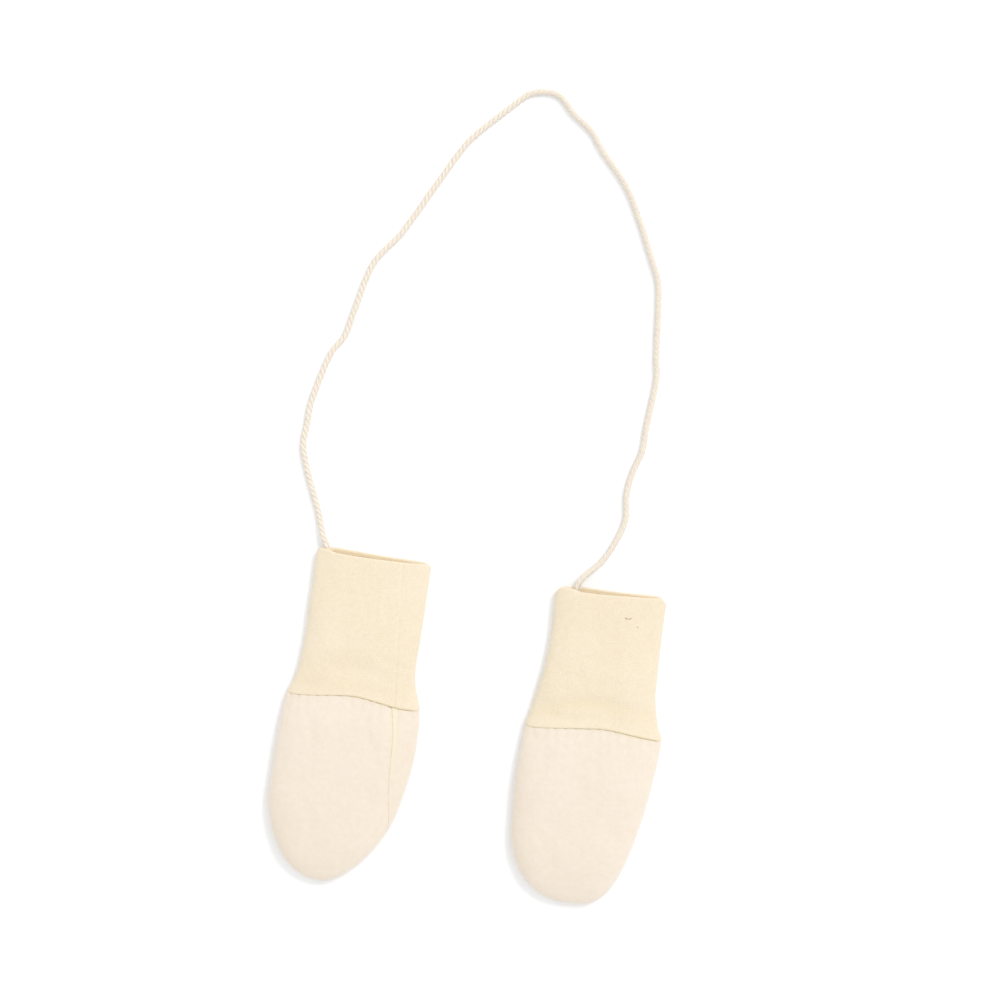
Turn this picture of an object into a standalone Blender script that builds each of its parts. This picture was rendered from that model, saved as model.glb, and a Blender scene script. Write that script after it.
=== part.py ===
"""A pair of baby mittens joined by a cord, laid flat. Metres, +Z up; tables are in millimetres.

Each mitten is a fleece bag of two panels, sewn to a folded rib cuff that is a tube. Sections across
a mitten are worked out along it, from the wrist to the tip, and lofted with their inner faces.
"""

import math

import bmesh
import bpy
import numpy as np
from mathutils import Vector

MM = 0.001

# What both mittens share
CLOTH_FLEECE = 2.5      # wall of the hand
CLOTH_RIB = 1.6         # wall of the cuff, folded double
SEAM_GAP = 0.3          # between the two panels
CUFF_CLEARANCE = 0.3    # of the cuff and of the panels, each from the line of the cuff's seam
EDGE_RISE = 3.25        # height of the outline above the surface
EDGE_ROUND = 3.4        # how far the underside's rounding reaches in
MOST_REACH = 0.45       # of a narrow section's width
SECTION_FLATNESS = 3.0  # powers of the domed top, across and up
SECTION_FULLNESS = 2.4
TIP_HALF_WIDTH = 1.5    # straight end of the last section
TIP_DOME = 30.0         # stretch over which the top comes down to the tip
LIP = 1.0               # the back of the cuff reaches out, its front is set back
SIDE_SEAM_END = 124.0   # a side seam on the top meets the outline here
SIDE_SEAM_TURN = 12.5   # radius of the turn that shortens its way on the inner face

# How the rounded falls bend: a power at their start and a root at their end
DOME_FALL = (2.2, 2.0)
TOE_FALL = (2.0, 2.0)
SIDE_SEAM_FALL = (2.4, 1.6)

PANEL_ROWS = 17
PANEL_COLUMNS = 16
CUFF_ROWS = 7
CUFF_COLUMNS = 40
LOOP_STEPS = 60         # fine steps of a section before it is resampled
ROUTE_STEPS = 16        # fine steps between two points of the cord's route
TIP_CROWDING = 1.7      # rows of a panel lie closer together towards the tip
EDGE_CROWDING = 0.65    # columns lie closer together towards both edges
SEAM_ROWS = 3.0         # the cuff's seam shapes the first one in this many parts of a panel
SHARP_ANGLE = 50.0

# Outline rows: along from the wrist, reach to the left and to the right, height of the top.
# A tip: where the outline starts to close in, then its fall's power and root.
# Seam rows: across as a share of the half width, distance along of the cuff's seam.
LEFT_MITTEN = {
    "name": "left",
    "wrist": (-42.5, 76.3),
    "turn": -8.95,
    "length": 148.1,
    "tip_shift": -1.9,
    "outline": (
        (-2.0, 25.4, 26.6, 8.2),
        (20.0, 24.8, 27.0, 8.3),
        (34.0, 24.5, 26.9, 8.5),
        (48.0, 24.9, 27.3, 8.9),
        (57.0, 26.0, 28.8, 9.4),
        (66.0, 28.5, 31.5, 10.2),
        (78.0, 29.8, 32.8, 11.8),
        (95.0, 30.2, 31.9, 12.4),
        (110.0, 30.0, 29.6, 12.4),
    ),
    "tip_left": (110.0, 1.8, 1.9),
    "tip_right": (109.0, 1.42, 1.62),
    "cuff_seam": 66.2,
    "seam": (
        (-1.0, 66.8), (-0.8, 66.5), (-0.58, 65.7), (-0.28, 64.4), (0.08, 63.5),
        (0.37, 64.5), (0.7, 65.9), (0.92, 65.8), (1.0, 65.7),
    ),
    "side_seam": 14.2,          # its distance over the top from the right-hand outline
}

RIGHT_MITTEN = {
    "name": "right",
    "wrist": (65.1, 59.7),
    "turn": -6.42,
    "length": 140.9,
    "tip_shift": -5.0,
    "outline": (
        (-2.0, 25.0, 24.7, 8.2),
        (20.0, 25.1, 24.8, 8.3),
        (36.0, 26.3, 24.5, 8.6),
        (47.0, 28.6, 25.3, 9.0),
        (56.0, 30.6, 27.2, 9.5),
        (64.0, 32.2, 29.6, 10.2),
        (75.0, 33.3, 30.0, 11.8),
        (90.0, 34.1, 30.0, 12.4),
        (105.0, 33.6, 30.0, 12.4),
    ),
    "tip_left": (105.0, 2.3, 2.0),
    "tip_right": (66.0, 1.18, 3.2),
    "cuff_seam": 64.2,
    "seam": (
        (-1.0, 64.0), (-0.9, 63.7), (-0.58, 63.0), (-0.23, 62.0), (0.06, 61.3),
        (0.28, 61.7), (0.59, 62.9), (0.92, 63.9), (1.0, 64.1),
    ),
    "side_seam": 0.0,           # both side seams lie on the outline
}

# Joining cord: its route from inside the left cuff to inside the right one. It rests on the
# surface at 1.4 and goes in between a cuff's layers at 3.3.
CORD_DIAMETER = 2.7
CORD_STEP = 6.7
CORD_ROUTE = (
    (-64.4, 70.7, 3.3), (-63.6, 80.4, 3.3), (-65.1, 85.3, 2.7), (-66.8, 94.3, 1.5),
    (-69.5, 104.7, 1.4), (-72.2, 115.0, 1.4), (-74.0, 125.8, 1.4), (-72.2, 136.6, 1.4),
    (-69.9, 147.4, 1.4), (-61.8, 167.2, 1.4), (-55.1, 175.8, 1.4), (-51.3, 186.1, 1.4),
    (-43.4, 206.4, 1.4), (-36.6, 214.9, 1.4), (-29.0, 222.6, 1.4), (-16.4, 240.1, 1.4),
    (-3.8, 257.7, 1.4), (3.4, 265.8, 1.4), (20.5, 279.3, 1.4), (29.5, 285.1, 1.4),
    (40.8, 284.2, 1.4), (48.4, 275.2, 1.4), (56.1, 267.6, 1.4), (61.5, 258.1, 1.4),
    (73.2, 239.7, 1.4), (83.5, 209.1, 1.4), (86.2, 198.7, 1.4), (86.2, 187.9, 1.4),
    (85.3, 166.3, 1.4), (85.3, 155.5, 1.4), (80.8, 134.4, 1.4), (79.0, 123.6, 1.4),
    (74.5, 113.7, 1.4), (71.8, 103.3, 1.4), (71.4, 92.5, 1.4), (66.9, 82.6, 1.4),
    (60.6, 73.6, 1.5), (52.5, 66.9, 2.7), (49.1, 61.0, 3.3), (48.9, 52.4, 3.3),
)

MATERIALS = {
    "fleece": {"colour": (0.940, 0.835, 0.700), "roughness": 0.95},
    "rib": {"colour": (0.930, 0.815, 0.625), "roughness": 0.90},
    "cord": {"colour": (0.870, 0.745, 0.610), "roughness": 0.85},
}


def smooth_table(rows, column, at):
    """A table's column at a distance along, by a curve through its rows."""
    places = [row[0] for row in rows]
    values = [row[column] for row in rows]
    if at <= places[0]:
        return values[0]
    if at >= places[-1]:
        return values[-1]
    i = next(k for k in range(len(places) - 1) if at < places[k + 1])

    def slope(k):
        below, above = max(k - 1, 0), min(k + 1, len(places) - 1)
        return (values[above] - values[below]) / (places[above] - places[below])

    step = places[i + 1] - places[i]
    t = (at - places[i]) / step
    rise = t * t * (3 - 2 * t)
    start, end = slope(i) * step, slope(i + 1) * step
    return (
        values[i] * (1 - rise) + values[i + 1] * rise
        + start * t * (1 - t) ** 2 - end * t * t * (1 - t)
    )


def tip_fade(at, start, end, power, root):
    """1 up to the start, then a rounded fall to 0 at the end."""
    part = min(max((at - start) / (end - start), 0.0), 1.0)
    return (1 - part ** power) ** (1 / root)


def measures(mitten, at, shrink):
    """(left, right, middle, low, high) of the section, `shrink` inside the outer face."""
    end = mitten["length"] - shrink
    sides, fades = [], []
    for column, key, sign in ((1, "tip_left", -1), (2, "tip_right", 1)):
        start, power, root = mitten[key]
        width = smooth_table(mitten["outline"], column, min(at, start)) - shrink
        least = sign * mitten["tip_shift"] + TIP_HALF_WIDTH
        fades.append(tip_fade(at, start, end, power, root))
        sides.append(least + (width - least) * fades[-1])
    middle = mitten["tip_shift"] * (1 - sum(fades) / 2)
    dome = tip_fade(at, end - TIP_DOME, end, *DOME_FALL)
    top = smooth_table(mitten["outline"], 3, at) - shrink
    half_gap = SEAM_GAP / 2
    high = EDGE_RISE + half_gap + (top - EDGE_RISE - half_gap) * dome
    toe = tip_fade(at, end - EDGE_ROUND + shrink, end, *TOE_FALL)
    low = EDGE_RISE - half_gap - (EDGE_RISE - half_gap - shrink) * toe
    return sides[0], sides[1], middle, low, high


def section(mitten, at, shrink, gap):
    """Top and underside of a section as fine lines of (across, up), each starting where the other ends."""
    left, right, middle, low, high = measures(mitten, at, shrink)
    reach = min(EDGE_ROUND - shrink, MOST_REACH * (left + right))
    top = []
    for i in range(LOOP_STEPS + 1):
        turn = math.pi * (1 - i / LOOP_STEPS)
        side = right - middle if turn < math.pi / 2 else left + middle
        out = math.copysign(abs(math.cos(turn)) ** (2 / SECTION_FLATNESS), math.cos(turn))
        up = abs(math.sin(turn)) ** (2 / SECTION_FULLNESS)
        top.append((middle + side * out, EDGE_RISE + gap / 2 + (high - EDGE_RISE - gap / 2) * up))
    under = []
    quarter = LOOP_STEPS // 4
    for edge, sign, turns in (
        (right, 1, range(quarter + 1)),
        (left, -1, range(quarter, -1, -1)),
    ):
        for i in turns:
            turn = math.pi / 2 * i / quarter
            out = edge - reach * (1 - math.cos(turn))
            drop = (EDGE_RISE - gap / 2 - low) * math.sin(turn)
            under.append((sign * out, EDGE_RISE - gap / 2 - drop))
    return np.array(top), np.array(under)


def run_of(line):
    """Length along a line at each of its points."""
    return np.concatenate(([0.0], np.cumsum(np.linalg.norm(np.diff(line, axis=0), axis=1))))


def points_at(line, run, wanted):
    """Points of a line at these lengths along it."""
    return np.stack([np.interp(wanted, run, line[:, k]) for k in range(line.shape[1])], axis=1)


def resample(line, fractions):
    """Points of a line at these fractions of its length."""
    run = run_of(line)
    return points_at(line, run, np.asarray(fractions) * run[-1])


def cut_line(line, start, end):
    """The stretch of a line between two lengths along it."""
    run = run_of(line)
    ends = points_at(line, run, (start, end))
    return np.vstack((ends[:1], line[(run > start) & (run < end)], ends[1:]))


def eased(count):
    """Fractions from 0 to 1, closer together at both ends."""
    even = np.linspace(0, 1, count + 1)
    return (1 - EDGE_CROWDING) * even + EDGE_CROWDING * (0.5 - 0.5 * np.cos(math.pi * even))


def panel_lines(mitten, at, shrink):
    """The front's and the back's stretch of one section."""
    top, under = section(mitten, at, shrink, SEAM_GAP)
    loop = np.vstack((top, under))
    run = run_of(loop)
    corner = run[len(top) - 1]
    fall = tip_fade(at, mitten["cuff_seam"], SIDE_SEAM_END - shrink, *SIDE_SEAM_FALL)
    on_top = mitten["side_seam"] * fall
    middle = corner + SEAM_GAP / 2 - on_top * (1 - shrink / SIDE_SEAM_TURN)
    return (
        cut_line(loop, 0.0, middle - SEAM_GAP / 2),
        cut_line(loop, middle + SEAM_GAP / 2, run[-1]),
    )


def seam_along(mitten, across):
    """Distance along of the cuff's seam, which bows toward the wrist in the middle."""
    half = smooth_table(mitten["outline"], 1 if across < 0 else 2, mitten["cuff_seam"])
    return smooth_table(mitten["seam"], 1, across / half)


def panel_rows(mitten, which, shrink):
    """Rows of points of a panel's face, from the cuff's seam to the tip."""
    start, end = mitten["cuff_seam"], mitten["length"] - shrink
    rows = []
    for part in 1 - (1 - np.linspace(0, 1, PANEL_ROWS + 1)) ** TIP_CROWDING:
        at = start + (end - start) * part
        line = panel_lines(mitten, at, shrink)[which]
        row = []
        for across, up in resample(line, eased(PANEL_COLUMNS)):
            bow = seam_along(mitten, across) + CUFF_CLEARANCE - start
            row_at = at + bow * max(1 - SEAM_ROWS * part, 0)
            row.append(Vector((across, -row_at, up)) * MM)
        rows.append(row)
    return rows


def cuff_rows(mitten, shrink):
    """Rings of points of the cuff's face, from the wrist to its seam."""
    rows = []
    for part in np.linspace(0, 1, CUFF_ROWS + 1):
        at = mitten["cuff_seam"] * part
        top, under = section(mitten, at, shrink, 0.0)
        high = top[:, 1].max()
        ring = []
        half = CUFF_COLUMNS // 2
        for line in (top, under):
            for across, up in resample(line, eased(half))[:-1]:
                seam = seam_along(mitten, across) - CUFF_CLEARANCE
                edge = top[-1, 0] if across > 0 else -top[0, 0]
                inner = 1 - (abs(across) / edge) ** 4
                lip = LIP * inner * (1 if up > EDGE_RISE else -1) * min(abs(up - high / 2), 1)
                row_at = lip * (1 - part) + seam * part
                ring.append(Vector((across, -row_at, up)) * MM)
        rows.append(ring)
    return rows


def loft(name, outer, inner, ring):
    """A closed shell between two grids of the same size; a ring's rows close on themselves."""
    mesh = bpy.data.meshes.new(name)
    grid = bmesh.new()
    faces = [[[grid.verts.new(point) for point in row] for row in rows] for rows in (outer, inner)]
    row_count, column_count = len(outer), len(outer[0])
    columns = range(column_count if ring else column_count - 1)

    def bridge(first, second):
        for i in range(len(first) - 1):
            grid.faces.new((first[i], first[i + 1], second[i + 1], second[i]))

    for side in faces:
        for r in range(row_count - 1):
            for c in columns:
                n = (c + 1) % column_count
                grid.faces.new((side[r][c], side[r][n], side[r + 1][n], side[r + 1][c]))
    for r in (0, row_count - 1):
        closing = [0] if ring else []
        bridge(*[[side[r][c] for c in [*range(column_count), *closing]] for side in faces])
    if not ring:
        for c in (0, column_count - 1):
            bridge(*[[row[c] for row in side] for side in faces])
    bmesh.ops.recalc_face_normals(grid, faces=grid.faces)
    if grid.calc_volume(signed=True) < 0:
        bmesh.ops.reverse_faces(grid, faces=grid.faces)
    grid.to_mesh(mesh)
    grid.free()
    mesh.shade_smooth()
    mesh.set_sharp_from_angle(angle=math.radians(SHARP_ANGLE))
    return mesh


def material(name):
    made = bpy.data.materials.new(name)
    made.use_nodes = True
    shader = made.node_tree.nodes["Principled BSDF"]
    shader.inputs["Base Color"].default_value = (*MATERIALS[name]["colour"], 1.0)
    shader.inputs["Roughness"].default_value = MATERIALS[name]["roughness"]
    shader.inputs["Metallic"].default_value = 0.0
    return made


def add_object(name, data, made_of, parent=None):
    part = bpy.data.objects.new(name, data)
    data.materials.append(made_of)
    part.parent = parent
    parts.objects.link(part)
    return part


def build_mitten(mitten, fleece, rib):
    side = mitten["name"]
    place = bpy.data.objects.new(f"{side}_mitten", None)
    place.location = Vector((*mitten["wrist"], 0.0)) * MM
    place.rotation_euler.z = math.radians(mitten["turn"])
    parts.objects.link(place)
    for which, panel in enumerate(("front", "back")):
        name = f"{side}_{panel}"
        outer = panel_rows(mitten, which, 0.0)
        inner = panel_rows(mitten, which, CLOTH_FLEECE)
        add_object(name, loft(name, outer, inner, ring=False), fleece, place)
    name = f"{side}_cuff"
    tube = loft(name, cuff_rows(mitten, 0.0), cuff_rows(mitten, CLOTH_RIB), ring=True)
    add_object(name, tube, rib, place)


def smooth_route(points, step):
    """Even points on a smooth curve through the route's own points."""
    fine = []
    for i in range(len(points) - 1):
        around = [points[min(max(i + k, 0), len(points) - 1)] for k in (-1, 0, 1, 2)]
        before, start, end, after = around
        for t in np.arange(ROUTE_STEPS) / ROUTE_STEPS:
            fine.append(
                0.5 * (
                    2 * start + (end - before) * t
                    + (2 * before - 5 * start + 4 * end - after) * t ** 2
                    + (3 * start - before - 3 * end + after) * t ** 3
                )
            )
    fine.append(points[-1])
    fine = np.array(fine)
    count = round(run_of(fine)[-1] / step)
    return resample(fine, np.linspace(0, 1, count + 1))


def build_cord(made_of):
    route = smooth_route([np.array(point) for point in CORD_ROUTE], CORD_STEP)
    curve = bpy.data.curves.new("cord", "CURVE")
    curve.dimensions = "3D"
    curve.bevel_depth = CORD_DIAMETER / 2 * MM
    curve.bevel_resolution = 2
    curve.use_fill_caps = True
    line = curve.splines.new("POLY")
    line.points.add(len(route) - 1)
    for point, (x, y, z) in zip(line.points, route):
        point.co = (x * MM, y * MM, z * MM, 1.0)
    add_object("cord", curve, made_of)


for old in list(bpy.data.objects):
    bpy.data.objects.remove(old, do_unlink=True)
parts = bpy.data.collections.new("baby_mittens")
bpy.context.scene.collection.children.link(parts)
fleece_cloth, rib_cloth, cord_yarn = material("fleece"), material("rib"), material("cord")
for mitten_sizes in (LEFT_MITTEN, RIGHT_MITTEN):
    build_mitten(mitten_sizes, fleece_cloth, rib_cloth)
build_cord(cord_yarn)
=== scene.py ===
import math

import bpy
import numpy as np
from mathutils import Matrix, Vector, noise


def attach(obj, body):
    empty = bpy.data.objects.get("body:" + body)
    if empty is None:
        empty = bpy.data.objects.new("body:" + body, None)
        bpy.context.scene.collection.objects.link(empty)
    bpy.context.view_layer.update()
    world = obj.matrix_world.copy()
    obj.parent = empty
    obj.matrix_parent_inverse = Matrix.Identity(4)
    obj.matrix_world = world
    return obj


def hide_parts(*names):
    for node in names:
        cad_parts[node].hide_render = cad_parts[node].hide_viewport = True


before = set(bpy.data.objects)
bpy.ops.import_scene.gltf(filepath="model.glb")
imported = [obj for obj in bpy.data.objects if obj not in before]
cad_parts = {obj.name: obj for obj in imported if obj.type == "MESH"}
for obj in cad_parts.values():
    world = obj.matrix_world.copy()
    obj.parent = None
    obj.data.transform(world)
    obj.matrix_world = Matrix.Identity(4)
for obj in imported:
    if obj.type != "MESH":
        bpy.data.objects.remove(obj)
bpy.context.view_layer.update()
mm = 0.001

view = {
    "acrossView": 0.45,         # metres across at the height aimed at
    "lens": 85.0,
    "sensor": 36.0,
    "x": 0.0147,
    "y": 0.1015,
    "aimHeight": 0.004,
    "nearest": 0.05,
}
light = {
    "skyStrength": 1.00,
    "sunStrength": 0.98,
    "sunAngle": 20.0,          # degrees across, for soft edges
    "sunFrom": (0.62, 0.64, 0.96),
}
table = {"side": 4.0, "colour": (0.935, 0.945, 0.955)}


def setUpView():
    distance = view["acrossView"] * view["lens"] / view["sensor"]
    bpy.ops.object.camera_add(location=(view["x"], view["y"], view["aimHeight"] + distance))
    camera = bpy.context.object
    camera.name = "camera"
    camera.data.lens = view["lens"]
    camera.data.sensor_width = view["sensor"]
    camera.data.clip_start = view["nearest"]
    bpy.context.scene.camera = camera
    bpy.context.scene.view_settings.view_transform = "Standard"

    bpy.ops.object.light_add(type="SUN")
    sun = bpy.context.object
    sun.name = "window"
    sun.data.energy = light["sunStrength"]
    sun.data.angle = math.radians(light["sunAngle"])
    sun.rotation_euler = Vector(light["sunFrom"]).to_track_quat("Z", "Y").to_euler()

    sky = bpy.data.worlds.new("room")
    sky.use_nodes = True
    glow = sky.node_tree.nodes["Background"]
    glow.inputs["Color"].default_value = (1.0, 1.0, 1.0, 1.0)
    glow.inputs["Strength"].default_value = light["skyStrength"]
    bpy.context.scene.world = sky

    bpy.ops.mesh.primitive_plane_add(size=table["side"], location=(0, 0, 0))
    floor = bpy.context.object
    floor.name = "floor"
    paper = bpy.data.materials.new("paper")
    paper.use_nodes = True
    shader = paper.node_tree.nodes["Principled BSDF"]
    shader.inputs["Base Color"].default_value = (*table["colour"], 1.0)
    shader.inputs["Roughness"].default_value = 1.0
    shader.inputs["Specular IOR Level"].default_value = 0.0
    floor.data.materials.append(paper)
    print("view: camera, window light and table are set")


def isSocket(value):
    return isinstance(value, bpy.types.NodeSocket)


# a short way to add a node: kind, place, inputs by name or position, then its settings
def nodeMaker(tree):
    def make(kind, at, inputs=None, **settings):
        node = tree.nodes.new(kind)
        node.location = at
        for key, value in settings.items():
            setattr(node, key, value)
        for key, value in (inputs or {}).items():
            if isSocket(value):
                tree.links.new(value, node.inputs[key])
            else:
                node.inputs[key].default_value = value
        return node
    return make


def softSpots(make, at, place, scale, detail, roughness=0.5):
    return make("ShaderNodeTexNoise", at,
                {"Vector": place, "Scale": scale, "Detail": detail, "Roughness": roughness})


def reckon(make, at, operation, *values, clamp=False):
    node = make("ShaderNodeMath", at, dict(enumerate(values)), operation=operation, use_clamp=clamp)
    return node.outputs[0]


def mixColour(make, at, share, first, second):
    first, second = (value if isSocket(value) else (*value, 1.0) for value in (first, second))
    return make("ShaderNodeMix", at, {0: share, 6: first, 7: second}, data_type="RGBA").outputs[2]


def fromPoints(make, at, name):
    return make("ShaderNodeAttribute", at, attribute_name=name).outputs["Fac"]


def startGroup(name, takes, gives):
    kinds = {"number": "NodeSocketFloat", "place": "NodeSocketVector", "colour": "NodeSocketColor"}
    group = bpy.data.node_groups.new(name, "ShaderNodeTree")
    for way, sockets in (("INPUT", takes), ("OUTPUT", gives)):
        for socket, kind in sockets.items():
            group.interface.new_socket(name=socket, in_out=way, socket_type=kinds[kind])
    make = nodeMaker(group)
    given, out = make("NodeGroupInput", (-900, 0)).outputs, make("NodeGroupOutput", (500, 0)).inputs
    return group, make, given, out


nap = {
    "bend": 0.004,              # how far the fibres' pattern is pushed about
    "bendDetail": 2.0,
    "fibreDetail": 5.0,
    "fibreRoughness": 0.68,
    "clumpDetail": 3.0,
    "clumpRoughness": 0.55,
    "clumpShare": 0.8,
    "patchShare": 0.6,
    "patchFrom": 0.60,
    "patchTo": 1.05,
    "bump": 0.6,
}


# short wool nap: a height, a tone, and patches of two shades
def napGroup():
    group, make, given, out = startGroup(
        "woolNap", {"Place": "place", "Fibres": "number", "Clumps": "number", "Patches": "number"},
        {"Height": "number", "Tone": "number", "Patchy": "number"})
    place = given["Place"]
    bend = softSpots(make, (-700, 200), place, given["Clumps"], nap["bendDetail"])
    moved = make("ShaderNodeMix", (-500, 200), {0: nap["bend"], 4: place, 5: bend.outputs["Color"]},
                 data_type="VECTOR").outputs[1]
    fibres = softSpots(make, (-300, 200), moved, given["Fibres"],
                       nap["fibreDetail"], nap["fibreRoughness"]).outputs["Fac"]
    clumps = softSpots(make, (-300, -100), place, given["Clumps"],
                       nap["clumpDetail"], nap["clumpRoughness"]).outputs["Fac"]
    patches = softSpots(make, (-300, -400), place, given["Patches"], nap["clumpDetail"]).outputs["Fac"]
    both = reckon(make, (0, 100), "MULTIPLY_ADD", clumps, nap["clumpShare"], fibres)
    blend = reckon(make, (0, -200), "MULTIPLY_ADD", patches, nap["patchShare"], clumps)
    patchy = make("ShaderNodeMapRange", (200, -200), {0: blend, 1: nap["patchFrom"], 2: nap["patchTo"]},
                  clamp=True).outputs[0]
    for name, made in (("Height", both), ("Tone", clumps), ("Patchy", patchy)):
        group.links.new(made, out[name])
    return group


# two tones of cloth in patches, and a deeper colour painted in as shade along its seams and in the
# rib's hollows
def clothColourSeamShadeGroup():
    group, make, given, out = startGroup(
        "clothColourSeamShade", {"Patchy": "number", "Seam": "number", "Deep": "colour", "Light": "colour",
                        "Groove": "colour"}, {"Colour": "colour"})
    body = mixColour(make, (-300, 100), given["Patchy"], given["Deep"], given["Light"])
    group.links.new(mixColour(make, (0, 0), given["Seam"], body, given["Groove"]), out["Colour"])
    return group


turned = {"from": 0.30, "to": 0.95}


# painted sheen: the nap catches light edge-on, so the colour is painted paler and greyer where the
# cloth turns away
def paintedEdgeSheenGroup():
    group, make, given, out = startGroup(
        "paintedEdgeSheen", {"Facing": "number", "Most": "number", "Colour": "colour", "Edge": "colour"},
        {"Colour": "colour"})
    steep = make("ShaderNodeMapRange", (-300, 100),
                 {0: given["Facing"], 1: turned["from"], 2: turned["to"], 3: 0.0, 4: given["Most"]},
                 clamp=True, interpolation_type="SMOOTHSTEP").outputs[0]
    group.links.new(mixColour(make, (0, 0), steep, given["Colour"], given["Edge"]), out["Colour"])
    return group


wool = {"specular": 0.18, "sheenRoughness": 0.6, "sheenTint": (1.0, 0.97, 0.93, 1.0)}


def startMaterial(name, look, groups):
    material = bpy.data.materials.new(name)
    material.use_nodes = True
    tree = material.node_tree
    shader = tree.nodes["Principled BSDF"]
    shader.location = (900, 0)
    plain = {
        "Roughness": look["roughness"], "Specular IOR Level": wool["specular"],
        "Sheen Weight": look["sheen"], "Sheen Roughness": wool["sheenRoughness"],
        "Sheen Tint": wool["sheenTint"],
    }
    for socket, value in plain.items():
        shader.inputs[socket].default_value = value
    make = nodeMaker(tree)
    place = make("ShaderNodeTexCoord", (-1100, 0)).outputs["Object"]
    pile = make("ShaderNodeGroup", (-800, -200), {
        "Place": place, "Fibres": look["fibres"], "Clumps": look["clumps"], "Patches": look["patches"],
    }, node_tree=groups["woolNap"]).outputs
    return material, tree, shader, make, pile


# the cloth's colour, with painted shade along its seams and in the rib's hollows
def sewnColourWithShade(make, pile, look, groups):
    return make("ShaderNodeGroup", (-350, 250), {
        "Patchy": pile["Patchy"], "Seam": fromPoints(make, (-600, 100), "paintedShade"),
        "Deep": (*look["deep"], 1.0), "Light": (*look["light"], 1.0), "Groove": (*look["grooveShade"], 1.0),
    }, node_tree=groups["clothColourSeamShade"]).outputs["Colour"]


# painted sheen: paler and greyer where the surface turns edge-on to the view
def paintedEdgeSheen(make, look, colour, groups):
    facing = make("ShaderNodeLayerWeight", (350, 500), {"Blend": 0.5}).outputs["Facing"]
    return make("ShaderNodeGroup", (600, 350), {
        "Facing": facing, "Most": look["edgeSheenMost"], "Colour": colour, "Edge": (*look["edge"], 1.0),
    }, node_tree=groups["paintedEdgeSheen"]).outputs["Colour"]


# the last links: colour, and the nap's bump over any larger pattern
def finishMaterial(tree, shader, make, pile, look, colour, under=None):
    inputs = {"Strength": nap["bump"], "Distance": look["napHeight"], "Height": pile["Height"]}
    if under is not None:
        inputs["Normal"] = under
    bump = make("ShaderNodeBump", (600, -250), inputs)
    tree.links.new(colour, shader.inputs["Base Color"])
    tree.links.new(bump.outputs["Normal"], shader.inputs["Normal"])


fleeceLook = {
    "light": (0.792, 0.702, 0.600),
    "deep": (0.766, 0.668, 0.546),
    # the colour of the painted shade along the seams
    "grooveShade": (0.735, 0.640, 0.480),
    # painted sheen: the colour where the cloth turns edge-on, and how much of it
    "edge": (0.790, 0.748, 0.700),
    "edgeSheenMost": 0.85,
    "yellow": (0.812, 0.728, 0.545),    # beside the seam that shows
    "fibres": 2600.0,
    "clumps": 420.0,
    "patches": 34.0,
    "napHeight": 0.00022,
    "roughness": 0.95,
    "sheen": 0.35,
}


def fleeceMaterial(groups):
    look = fleeceLook
    material, tree, shader, make, pile = startMaterial("fleece", look, groups)
    beside = fromPoints(make, (-350, -150), "besideSeam")
    warmer = mixColour(make, (100, 200), beside, sewnColourWithShade(make, pile, look, groups), look["yellow"])
    finishMaterial(tree, shader, make, pile, look, paintedEdgeSheen(make, look, warmer, groups))
    return material


ribLook = {
    "light": (0.812, 0.716, 0.562),
    "deep": (0.782, 0.677, 0.505),
    # the colour of the painted shade along the seams and in the rib's hollows
    "grooveShade": (0.710, 0.600, 0.390),
    # painted sheen: the colour where the cloth turns edge-on, and how much of it
    "edge": (0.815, 0.755, 0.665),
    "edgeSheenMost": 0.70,
    # painted light: the inside takes a warmer colour than the outside, to make up for the shade inside
    # the cuff
    "inside": (0.850, 0.705, 0.490),
    # the colour of the painted shade along the fold lines
    "fold": (0.770, 0.650, 0.450),
    "fibres": 3800.0,
    "clumps": 520.0,
    "patches": 42.0,
    "napHeight": 0.00006,
    "roughness": 0.9,
    "sheen": 0.2,
    "stitch": 0.95,             # mm along a rib
    "stitchSlant": 7.0,
    "stitchHeight": 0.00007,
    "stitchBump": 0.5,
}


def ribMaterial(groups):
    look = ribLook
    material, tree, shader, make, pile = startMaterial("rib", look, groups)
    # painted shade along the cuff's fold lines
    folded = mixColour(make, (100, 250), fromPoints(make, (-350, -200), "foldShade"),
                       sewnColourWithShade(make, pile, look, groups), look["fold"])
    # painted light inside the cuff, a warmer colour than the outside's
    insideLightened = mixColour(make, (750, 250), fromPoints(make, (-350, -50), "inside"),
                      paintedEdgeSheen(make, look, folded, groups), look["inside"])
    # knitted stitches: small chevrons down each rib, on the piece's own map (ribs, millimetres)
    knit = make("ShaderNodeUVMap", (-1100, -500), uv_map="knit").outputs["UV"]
    split = make("ShaderNodeSeparateXYZ", (-900, -500), {"Vector": knit}).outputs
    turn = reckon(make, (-700, -450), "PINGPONG", split["X"], 0.5)
    row = reckon(make, (-700, -600), "MULTIPLY", split["Y"], 2 * math.pi / look["stitch"])
    slant = reckon(make, (-500, -520), "MULTIPLY_ADD", turn, look["stitchSlant"], row)
    stitches = reckon(make, (-300, -520), "SINE", slant)
    stitched = make("ShaderNodeBump", (200, -450), {
        "Strength": look["stitchBump"], "Distance": look["stitchHeight"], "Height": stitches})
    finishMaterial(tree, shader, make, pile, look, insideLightened, stitched.outputs["Normal"])
    return material


cordLook = {
    "pink": (0.872, 0.772, 0.692),
    "yellow": (0.865, 0.808, 0.680),
    # the colour of the painted shade between the strands
    "deep": (0.780, 0.655, 0.500),
    "fibres": 5200.0,
    "clumps": 300.0,
    "patches": 34.0,
    "napHeight": 0.00010,
    "roughness": 0.88,
    "sheen": 0.2,
    "pliesAround": 31.4,
    "pliesAlong": 5.0,
    "plyHeight": 0.00012,
    "plyBump": 0.5,
    "toneInHollows": 0.3,
}


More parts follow.
